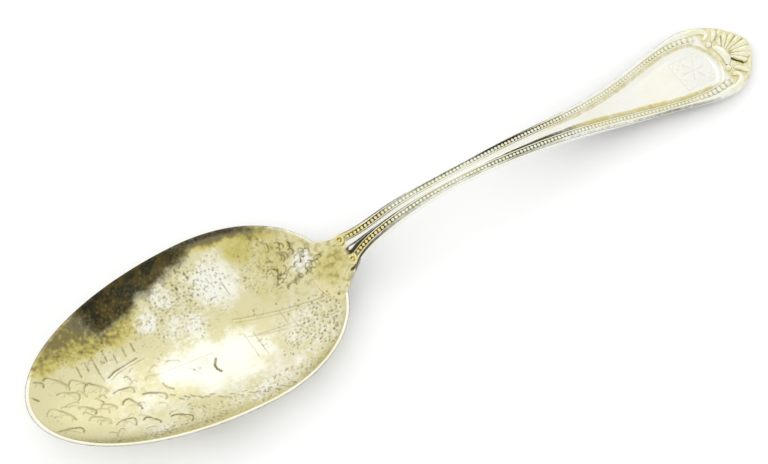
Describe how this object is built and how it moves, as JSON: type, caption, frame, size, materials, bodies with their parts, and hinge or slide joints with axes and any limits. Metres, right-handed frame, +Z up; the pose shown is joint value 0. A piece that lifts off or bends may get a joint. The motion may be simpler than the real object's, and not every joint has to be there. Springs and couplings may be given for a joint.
{
  "type": "souvenir spoon",
  "caption": "Souvenir teaspoon: shallow engraved gilt bowl on an arched silver handle with beaded borders that flares to a scrolled end with a small scallop shell.",
  "frame": {"origin": "on the table, under the middle of the spoon's length and width (bottom centre of its box)", "axes": "+X runs along the spoon from the bowl's tip to the handle's end, +Y is to the left seen from the bowl, +Z is up, the bowl's open side"},
  "size_m": [0.15, 0.0356, 0.0124],
  "materials": {
    "silver": "polished sterling silver with dark patina in the recesses",
    "bead_silver": "struck silver beads and ornaments, bright tops and dark joints",
    "gilt_silver": "pale gilt wash over silver, engraved and partly tarnished"
  },
  "bodies": {
    "root": {"bead_border_left": "bead_silver", "bead_border_right": "bead_silver", "bowl": "gilt_silver", "edge_rim_left": "silver", "edge_rim_right": "silver", "end_scroll_left": "bead_silver", "end_scroll_right": "bead_silver", "handle_plate": "silver", "heel_drop": "silver", "inner_fillet_left": "silver", "inner_fillet_right": "silver", "neck_volute_left": "bead_silver", "neck_volute_right": "bead_silver", "scroll_pearl_left": "bead_silver", "scroll_pearl_right": "bead_silver", "shell_crescent": "bead_silver", "shell_finial": "bead_silver", "side_leaf_left": "bead_silver", "side_leaf_right": "bead_silver"}
  },
  "joints": []
}
